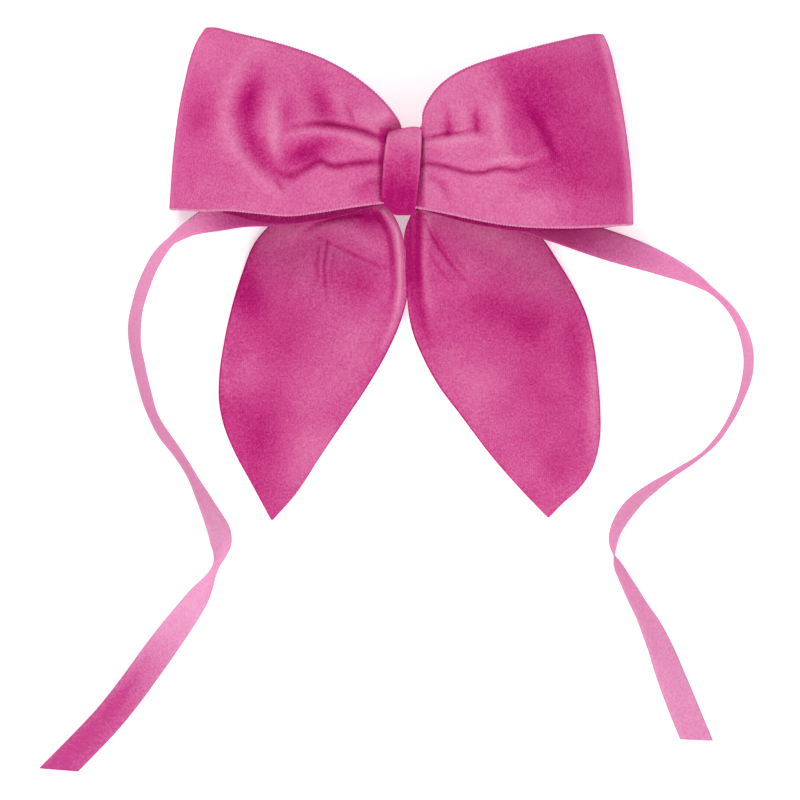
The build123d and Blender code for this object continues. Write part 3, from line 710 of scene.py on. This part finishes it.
def right_loop_folds(f):
    """Pleats from the knot, a broad hollow to the right in painted shade and a band of painted sheen down the
    outer end, with painted shade in the creases and painted highlights on the ridges.
    """
    # Painted light and shade over the whole loop: lighter overall and along the top, darker over the hollow
    # and the lower right.
    f.shade += 0.46 - 0.66 * ramp(29, 41, f.x + 0.25 * (f.y - 50)) * ramp(21, 32, f.y)
    f.shade -= 0.34 * ramp(50, 58, f.x) * ramp(34, 22, f.y)
    f.shade += 0.40 * ramp(66, 78, f.y) * ramp(30, 45, f.x)
    f.crease([(7.0, 44.0), (12.5, 45.2), (18.5, 45.8), (24.5, 47.0)], 1.6, 1.0, 0.9, -0.60,
             (0.8, 1, 0.9, 0.4))
    f.ridge([(8.0, 42.0), (15.0, 43.4), (23.5, 44.6), (29.5, 42.2)], 1.2, 1.9, 0.35, (0.7, 1, 1, 0.4))
    f.crease([(14.0, 57.0), (15.4, 50.6), (15.4, 45.6)], 0.8, 1.1, 0.3, -0.65, (0.0, 0.8, 0.8))
    f.tone((15.6, 47.4), (2.2, 2.6), -0.55, 8)
    f.ridge([(19.6, 57.0), (20.0, 51.5), (20.6, 47.5)], 0.8, 1.9, 0.25, (0.3, 1, 0.6))
    f.crease([(25.2, 57.6), (24.4, 51.6), (25.2, 46.6)], 0.8, 1.1, -0.4, -0.65, (0.0, 0.9, 0.8))
    f.tone((25.2, 49.0), (2.4, 3.4), -0.50, -8)
    f.ridge([(32.4, 61.0), (31.2, 54.0), (32.0, 46.0), (33.2, 40.5)], 1.3, 2.2, 0.32, (0.4, 1, 1, 0.5))
    f.crease([(7.4, 36.2), (15.2, 34.8), (22.5, 32.8), (26.6, 32.8), (32.0, 34.2), (38.0, 33.6),
              (43.0, 35.6)], 1.8, 0.95, -0.8, -0.85, (0.7, 1, 1, 1, 0.9, 0.8, 0.2))
    f.ridge([(29.0, 36.6), (34.5, 37.6), (40.0, 37.0), (47.5, 39.6)], 1.5, 1.4, 0.55, (0.5, 1, 0.8, 0.4))
    f.crease([(39.0, 62.5), (42.5, 53.8), (46.4, 48.0), (48.8, 42.6), (51.0, 37.5)], 1.7, 1.7, 0.0, -0.75,
             (0.0, 0.25, 1, 1, 0.5))
    f.tone((44.0, 64.0), (9.0, 6.0), -0.15)
    f.tone((44.0, 56.5), (9.0, 11.0), -0.45, 15)
    f.tone((54.5, 38.0), (8.0, 12.0), -0.30, 10)
    f.tone((66.0, 56.0), (5.0, 14.0), 0.20, 12)
    f.tone((10.5, 40.0), (4.0, 2.6), -0.20)
    f.tone((22.0, 27.0), (15.0, 4.0), 0.05, -12)
    f.crease([(9.6, 31.5), (13.6, 29.0), (15.4, 24.8)], 0.9, 1.3, 0.3, -0.60, (0.6, 1, 0.5))
    f.crease([(34.0, 30.5), (40.0, 28.0), (46.0, 27.2)], 0.5, 1.0, 0.2, -0.30, (0.2, 1, 0.2))
    f.crease([(48.5, 30.0), (50.5, 25.5), (53.0, 18.0)], 0.4, 1.2, 0.2, -0.20, (0.2, 1, 0.6))
    f.ridge([(76.2, 18.0), (75.5, 31.0), (73.7, 45.5), (70.4, 62.6), (66.8, 78.4)], 0.2, 1.8, 0.95)


def bow_loops():
    """Both loops; their edges are plan lines in mm, from the knot outwards."""
    left_lower = [(-4.0, 23.5), (-16.8, 21.8), (-26.5, 20.2), (-37.8, 18.9), (-48.2, 19.8), (-56.8, 20.6),
                  (-66.5, 20.6), (-77.0, 21.5)]
    left_back = [(-4.0, 23.5), (-23.8, 18.2), (-43.8, 16.6), (-60.0, 20.2), (-77.0, 21.5)]
    left_upper = [(-2.4, 43.4), (-0.2, 46.8), (-1.0, 49.6), (-3.1, 52.8), (-7.0, 57.3), (-12.6, 62.2),
                  (-19.4, 66.8), (-27.2, 70.7), (-36.0, 73.8), (-45.7, 76.6), (-55.6, 79.2), (-62.6, 81.2),
                  (-65.2, 81.4)]
    left_inner = [(-4.0, 23.5), (-4.0, 35.0), (-2.4, 43.4)]
    left_outer = [(-77.0, 21.5), (-75.4, 42.3), (-72.4, 61.6), (-66.9, 78.9), (-65.2, 81.4)]
    loop("left_loop", left_lower, left_back, left_upper, left_inner, left_outer, left_loop_folds, seed=11)

    right_lower = [(2.6, 22.0), (9.0, 20.9), (16.5, 19.4), (26.2, 17.3), (34.5, 15.9), (52.5, 14.9),
                   (67.2, 15.5), (76.9, 16.4)]
    right_back = [(2.6, 22.0), (26.2, 15.9), (46.5, 13.7), (62.5, 14.7), (76.9, 16.4)]
    right_upper = [(4.8, 45.6), (6.9, 48.4), (7.4, 52.8), (9.5, 57.4), (13.1, 61.8), (18.4, 65.6),
                   (24.2, 68.2), (33.0, 71.0), (43.6, 73.9), (53.3, 76.4), (64.9, 79.1), (67.1, 79.2)]
    right_inner = [(2.6, 22.0), (4.2, 35.0), (4.8, 45.6)]
    right_outer = [(76.9, 16.4), (76.4, 29.6), (74.8, 45.0), (71.6, 63.4), (68.2, 76.8), (67.1, 79.2)]
    loop("right_loop", right_lower, right_back, right_upper, right_inner, right_outer, right_loop_folds,
         seed=23)


# ------------------------------------------------------------------ tails
TAIL_ROWS, TAIL_COLUMNS = 260, 240
TAIL_LEAST_Z = 0.02              # mm
# The lower and upper face's height in mm, by distance from the clip.
TAIL_DRAPE = ((0, 15.5, 16.4), (8, 15.5, 16.4), (14, 12.8, 14.6), (22, 9.0, 11.0), (34, 4.4, 6.3),
              (46, 1.2, 3.2), (56, 0.05, 2.15), (140, 0.05, 2.15))


def tail(name, outer, inner, fold, seed):
    """One tail: a folded, two-layer leaf from the knot to its point, lying down to the table."""
    s, turn = np.meshgrid(np.linspace(0, 1, TAIL_ROWS),
                          np.linspace(0, 2 * math.pi, TAIL_COLUMNS, endpoint=False), indexing="ij")
    top = squared(np.sin(turn), 0.55)
    # Even steps across the width, with the last few rounding the edge.
    across = np.cos(turn)
    across = np.sign(across) * (1 - (1 - np.abs(across)) ** 1.25)
    edge_out = smooth_line(outer, s[:, 0] ** 0.98)[:, None]
    edge_in = smooth_line(inner, s[:, 0] ** 0.98)[:, None]
    middle, half = (edge_out + edge_in) / 2, (edge_out - edge_in) / 2
    plan = middle + half * across[..., None]
    x, y = plan[..., 0], plan[..., 1]
    reach = np.hypot(x, y - CLIP_Y)
    radii, lows, highs = zip(*TAIL_DRAPE)
    low, high = np.interp(reach, radii, lows), np.interp(reach, radii, highs)
    # The leaf thins out where it narrows to its point.
    wide = np.linalg.norm(half, axis=-1)
    thick = np.minimum((high - low) / 2, 0.15 + 0.45 * wide)
    folds = Folds(x, y)
    fold(folds)
    inside = ramp(1.0, 0.9, np.abs(across)) * (top > 0)
    z = low + thick + thick * 0.86 * top
    uneven = 0.20 * value_noise(x, y, 8.0, seed) + 0.05 * value_noise(x, y, 2.6, seed + 1)
    z = np.maximum(z + inside * (folds.height + uneven), TAIL_LEAST_Z)
    points = np.stack([x, y, z], -1).reshape(-1, 3) * MM
    faces = grid_faces(TAIL_ROWS, TAIL_COLUMNS, wrap_columns=True) + end_caps(TAIL_ROWS, TAIL_COLUMNS)
    obj = mesh_object(name + "_cloth", points, faces)
    # Painted shade: a dark outline at the very edge, and the underside darker.
    painted_edge_shade = 0.7 * ramp(0.972, 0.992, np.abs(across))
    set_shade(obj, folds.shade - painted_edge_shade + 0.12 * value_noise(x, y, 9.0, seed + 2) - 0.3 * (top < -0.2))
    obj.data.materials.append(VELVET)
    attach(obj, ROOT)
    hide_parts(name)


def left_tail_folds(f):
    """A rolled inner edge with a dark crease beside it, a turned pleat and wrinkles near the knot, with
    painted shade in the creases and under the loops and painted highlights on the rolls.
    """
    # Painted shade towards the lower outer part; the tones below are painted light and shade.
    f.shade += 0.02 - 0.26 * ramp(-18, -50, f.y) * ramp(-30, -45, f.x)
    f.ridge([(-6.0, 20.5), (-2.2, 15.0), (-0.8, 7.0), (-0.4, -3.0), (-1.4, -12.0), (-6.4, -25.0)],
            0.8, 1.2, 0.95, (0.9, 1, 1, 1, 0.7, 0.3))
    f.crease([(-8.0, 19.5), (-4.6, 13.5), (-3.2, 5.5), (-2.9, -4.2), (-4.4, -13.0)], 0.8, 0.9, 0.0, -0.65,
             (1, 1, 0.9, 0.6, 0.1))
    f.tone((-10.5, 18.8), (6.5, 3.2), -1.0, -12)
    f.tone((-24.0, 19.0), (9.0, 2.0), -0.35, 8)
    f.ridge([(-36.6, 12.9), (-29.0, 16.0), (-19.0, 15.0), (-8.0, 8.5)], 0.40, 2.6, 0.35, (0.5, 1, 1, 0.5))
    f.crease([(-34.0, 13.6), (-27.0, 17.2), (-19.5, 19.2), (-13.5, 20.0)], 0.6, 1.1, 0.4, -0.65,
             (0.2, 1, 1, 1))
    f.crease([(-28.0, 12.4), (-22.0, 9.4), (-13.5, 5.2), (-4.0, 1.4)], 0.40, 0.6, 0.2, -0.45,
             (0.4, 1, 1, 0.5))
    f.crease([(-24.8, 10.5), (-25.8, 2.0), (-25.0, -9.5)], 0.50, 0.5, 0.30, -0.70, (1, 1, 0.2))
    f.crease([(-27.6, 9.0), (-28.2, 3.0), (-27.2, -4.0)], 0.40, 0.5, 0.20, -0.50, (1, 1, 0.2))
    f.crease([(-22.4, 7.5), (-23.6, 1.0), (-22.6, -6.0)], 0.30, 0.5, 0.20, -0.35, (1, 1, 0.2))
    f.crease([(-29.6, 8.5), (-29.0, -2.0), (-31.0, -9.0)], 0.25, 0.9, 0.1, -0.20, (0.5, 1, 0.2))
    f.tone((-14.0, -3.0), (7.0, 6.5), -0.40, -30)
    f.tone((-40.0, 12.0), (8.0, 5.0), 0.30, 35)
    f.tone((-51.0, -6.0), (6.5, 14.0), -0.80, 14)
    f.tone((-36.0, -22.0), (9.0, 12.0), -0.18, 0)
    f.tone((-19.0, -28.0), (9.0, 16.0), 0.40, -32)
    f.tone((-59.3, -30.0), (1.3, 16.0), 0.30, 6)
    f.tone((-51.5, -33.0), (4.0, 5.0), 0.22, 0)
    f.tone((-31.5, -61.0), (6.0, 12.0), 0.42, -32)
    f.tone((-48.0, -56.0), (6.0, 14.0), -0.25, -10)


def right_tail_folds(f):
    """A roll along the inner edge in painted shade, a lighter one beside it with a painted highlight, and
    fine slanting wrinkles in painted shade.
    """
    f.shade -= 0.02
    f.ridge([(3.2, 19.0), (2.4, 12.0), (2.9, 0.8), (4.4, -10.2), (7.5, -21.0)], 0.7, 1.7, -0.85,
            (0.8, 1, 1, 0.8, 0.2))
    f.crease([(5.9, 19.8), (5.4, 10.0), (5.8, -1.5), (7.2, -13.0), (10.0, -24.0)], 0.8, 1.2, 0.0, -1.0,
             (1, 1, 0.9, 0.5, 0.1))
    f.crease([(3.0, 17.0), (3.0, 8.0), (3.4, -2.0)], 0.25, 0.45, 0.0, -0.5, (1, 1, 0.3))
    f.ridge([(9.0, 18.8), (8.2, 12.0), (8.6, -4.0), (11.4, -15.0)], 0.5, 1.4, 0.45, (1, 0.8, 0.4, 0.1))
    f.crease([(7.6, 18.0), (11.4, 10.4), (15.6, 4.2), (22.0, -3.0)], 0.5, 0.55, 0.4, -0.75, (0.7, 1, 1, 0.2))
    f.crease([(9.8, 16.5), (13.4, 9.4), (17.2, 3.2)], 0.4, 0.5, 0.35, -0.60, (0.2, 1, 0.2))
    f.crease([(9.0, 8.0), (12.8, 1.5), (18.5, -5.0)], 0.4, 0.6, 0.30, -0.45, (0.2, 1, 0.2))
    f.crease([(12.5, 14.0), (17.0, 6.5), (22.0, 0.5)], 0.3, 0.7, 0.2, -0.25, (0.2, 1, 0.2))
    f.crease([(15.5, 0.5), (20.5, -1.5), (26.0, -4.5)], 0.3, 0.7, 0.2, -0.25, (0.2, 1, 0.2))
    f.tone((28.0, 12.5), (17.0, 4.6), 0.50, -28)
    f.tone((50.0, -2.0), (4.0, 9.0), 0.22, 28)
    f.tone((40.0, -16.5), (17.0, 8.5), -0.60, -22)
    f.tone((20.0, -14.0), (9.0, 6.0), -0.10, -20)
    f.tone((57.5, -24.0), (3.6, 14.0), -0.28, 8)
    f.tone((64.0, -40.0), (2.4, 20.0), 0.62, 0)
    f.tone((24.0, -40.0), (9.0, 14.0), 0.28, 36)
    f.tone((47.0, -42.0), (8.0, 12.0), -0.28, 20)
    f.tone((42.0, -64.0), (6.0, 8.0), 0.20, 36)
    f.tone((53.0, -66.0), (4.0, 9.0), -0.18, -20)


def tails():
    """Both tails; their edges are plan lines in mm, from the knot to the tip."""
    left_outer = [(-4.6, 30.0), (-13.0, 28.5), (-28.0, 23.8), (-41.0, 18.6), (-48.6, 11.0), (-53.5, -0.5),
                  (-57.0, -12.2), (-59.6, -24.5), (-61.0, -35.5), (-60.9, -43.5), (-59.3, -51.0),
                  (-55.7, -59.8), (-50.5, -69.4), (-43.6, -82.2)]
    left_inner = [(-4.6, 26.2), (-4.2, 22.5), (-2.6, 19.4), (-0.7, 15.5), (0.5, 12.0), (1.2, 7.0),
                  (1.6, 0.0), (1.8, -8.0), (-0.8, -17.4), (-5.2, -27.0), (-12.0, -38.6), (-18.8, -48.7),
                  (-27.1, -61.0), (-35.6, -73.9), (-43.0, -82.3)]
    tail("left_tail", left_outer, left_inner, left_tail_folds, seed=31)

    right_outer = [(4.6, 30.0), (13.0, 28.0), (28.0, 23.5), (40.0, 18.0), (47.4, 11.4), (52.7, 3.5),
                   (57.7, -4.8), (61.7, -13.5), (64.4, -24.5), (65.7, -35.5), (66.4, -44.8), (66.0, -57.2),
                   (63.7, -65.2), (59.6, -71.5), (53.8, -76.8), (49.2, -81.5)]
    right_inner = [(4.6, 26.2), (4.2, 22.5), (3.1, 19.4), (1.5, 15.5), (0.8, 12.0), (1.3, 7.0), (1.6, 0.0),
                   (1.9, -8.8), (3.6, -19.2), (7.2, -28.1), (11.7, -36.4), (19.9, -47.5), (30.3, -61.2),
                   (40.5, -72.8), (48.8, -81.4)]
    tail("right_tail", right_outer, right_inner, right_tail_folds, seed=47)


# ------------------------------------------------------------------ knot band
BAND_CENTRE = ((BAND_LOW.y + BAND_HIGH.y) / 2 / MM, (BAND_LOW.z + BAND_HIGH.z) / 2 / MM)
BAND_HALF = ((BAND_HIGH.y - BAND_LOW.y) / 2 / MM, (BAND_HIGH.z - BAND_LOW.z) / 2 / MM)
BAND_GAUGE = 1.25                # mm
BAND_ROWS, BAND_COLUMNS = 280, 150
BAND_SQUARENESS = 2 / 3.4        # the ring's power: 1 for an ellipse, nearer 0 for a box
# Each gather: across, top and bottom in mm, and the painted shade in it.
GATHERS = ((-3.2, 33.0, 22.0, -0.5), (-1.4, 36.0, 27.0, -0.35), (0.4, 31.0, 21.0, -0.6),
           (2.4, 37.0, 30.0, -0.3), (3.0, 28.0, 20.5, -0.5), (-4.4, 27.0, 22.5, -0.4),
           (-2.2, 44.0, 38.0, -0.2), (1.6, 42.0, 34.0, -0.2))


def band_folds(f):
    """Upright gathers with a rolled edge each side: painted light at the top, painted shade deepening towards
    the bottom and in the gathers, and painted highlights on the rolled edges.
    """
    f.shade += 0.70 * ramp(36, 47, f.y) - 0.80 * ramp(38, 25, f.y) - 0.08
    for x, top, bottom, shade in GATHERS:
        middle = (x + 0.35 * math.sin(5 * x), (top + bottom) / 2)
        f.crease([(x + 0.3, top), middle, (x - 0.4, bottom)], 0.22, 0.42, 0.08, shade, (0.2, 1, 0.7))
    f.ridge([(6.3, 47.0), (6.1, 36.0), (4.8, 22.0)], 0.25, 0.55, 0.40)
    f.ridge([(-4.4, 45.0), (-5.7, 36.0), (-5.9, 25.0)], 0.25, 0.55, 0.35)


def knot_band():
    """The band round the middle: a closed ring of velvet, gathered lengthwise and a little askew."""
    angle, section = np.meshgrid(np.linspace(0, 2 * math.pi, BAND_ROWS, endpoint=False),
                                 np.linspace(0, 2 * math.pi, BAND_COLUMNS, endpoint=False), indexing="ij")
    ring_y, ring_z = squared(np.cos(angle), BAND_SQUARENESS), squared(np.sin(angle), BAND_SQUARENESS)
    across, out = squared(np.cos(section), 0.5), squared(np.sin(section), 0.8)
    front = ramp(-0.1, 0.7, ring_z)
    x = across * (BAND_HALF_WIDTH - 0.1)
    inset = BAND_GAUGE / 2 * (1 - out)
    y = BAND_CENTRE[0] + ring_y * (BAND_HALF[0] - inset)
    z = BAND_CENTRE[1] + ring_z * (BAND_HALF[1] - inset)
    # The front leans to the right at the top, and its two ends are pulled askew.
    share = (y - BAND_CENTRE[0]) / BAND_HALF[0]
    x = x * (1 - 0.08 * share ** 2) + front * 1.15 * share
    y = y - ramp(0.3, 1.0, share) * (0.5 + 1.3 * ramp(5.0, -5.0, x))
    y = y - ramp(-0.3, -1.0, share) * (1.0 - 2.6 * ramp(-1.5, -5.8, x) - 0.8 * ramp(2.5, 5.0, x))
    folds = Folds(x, y)
    band_folds(folds)
    outside = ramp(0.0, 0.6, out)
    z += front * outside * (folds.height + 0.12 * value_noise(x, y, 4.0, 61))
    points = np.stack([x, y, z], -1).reshape(-1, 3) * MM
    faces = grid_faces(BAND_ROWS, BAND_COLUMNS, wrap_rows=True, wrap_columns=True)
    obj = mesh_object("knot_band_cloth", points, faces)
    # Painted light and shade on the band's front only.
    set_shade(obj, folds.shade * ramp(-0.6, 0.2, ring_z) + 0.1 * value_noise(x, y, 3.0, 62))
    obj.data.materials.append(VELVET)
    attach(obj, ROOT)
    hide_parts("knot_band")


# ------------------------------------------------------------------ clip and threads, as packed
def dress_cad():
    """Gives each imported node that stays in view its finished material."""
    looks = (
        (CLIP_STEEL, ("base_plate", "clasp_arm", "latch_base")),
        (SPRING_STEEL, ("tension_bar", "latch_prong_front", "latch_prong_rear")),
        (PIN_STEEL, ("hinge_pin", "latch_rivet")),
        (FELT, ("clip_lining",)),
        (THREAD, ("end_stitches", "knot_seam", "cinch_thread")),
    )
    for material, nodes in looks:
        for node in nodes:
            obj = bpy.data.objects[node]
            for slot in obj.material_slots:
                slot.material = material


bow_loops()
tails()
knot_band()
dress_cad()
